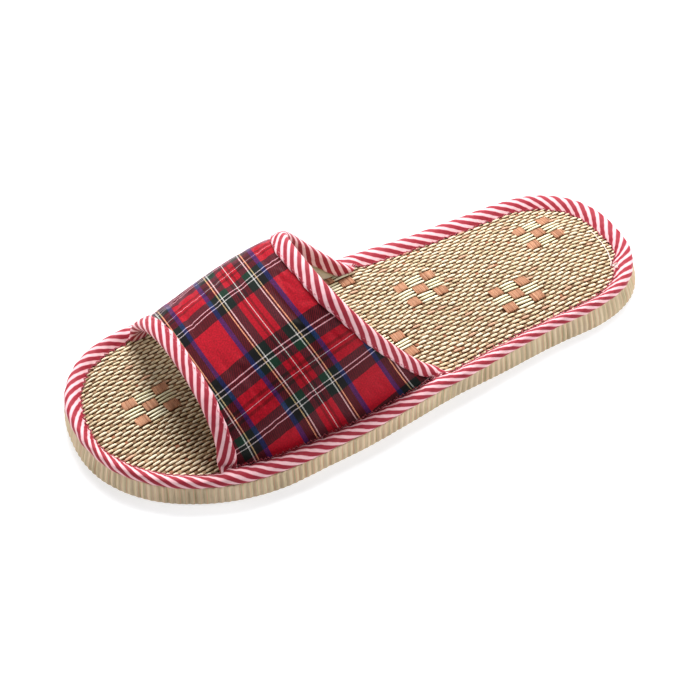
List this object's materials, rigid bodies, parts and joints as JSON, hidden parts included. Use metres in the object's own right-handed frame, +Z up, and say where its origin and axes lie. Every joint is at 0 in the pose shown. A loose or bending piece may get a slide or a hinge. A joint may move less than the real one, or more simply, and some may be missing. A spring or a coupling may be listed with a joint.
{
  "type": "house slipper",
  "caption": "Open-toe house slipper for the left foot: flat foam sole, woven rush insole bound with striped tape, and one wide tartan band over the foot.",
  "frame": {"origin": "on the floor, under the middle of the box round the slipper", "axes": "+Z up, toe towards -Y, heel towards +Y, the wearer's left (the outer side of the foot) towards +X"},
  "size_m": [0.1054, 0.272, 0.0663],
  "materials": {
    "tan_foam": "matte moulded foam with fine upright ribs round the side",
    "woven_rush": "woven rush mat with small checker motifs",
    "striped_tape": "cotton bias tape with crimson and pale pink stripes",
    "tartan_cloth": "twill cotton with a woven tartan pattern"
  },
  "bodies": {
    "root": {"outsole": "tan_foam", "insole": "woven_rush", "sole_binding": "striped_tape", "upper": "tartan_cloth", "front_binding": "striped_tape", "back_binding": "striped_tape"}
  },
  "joints": []
}
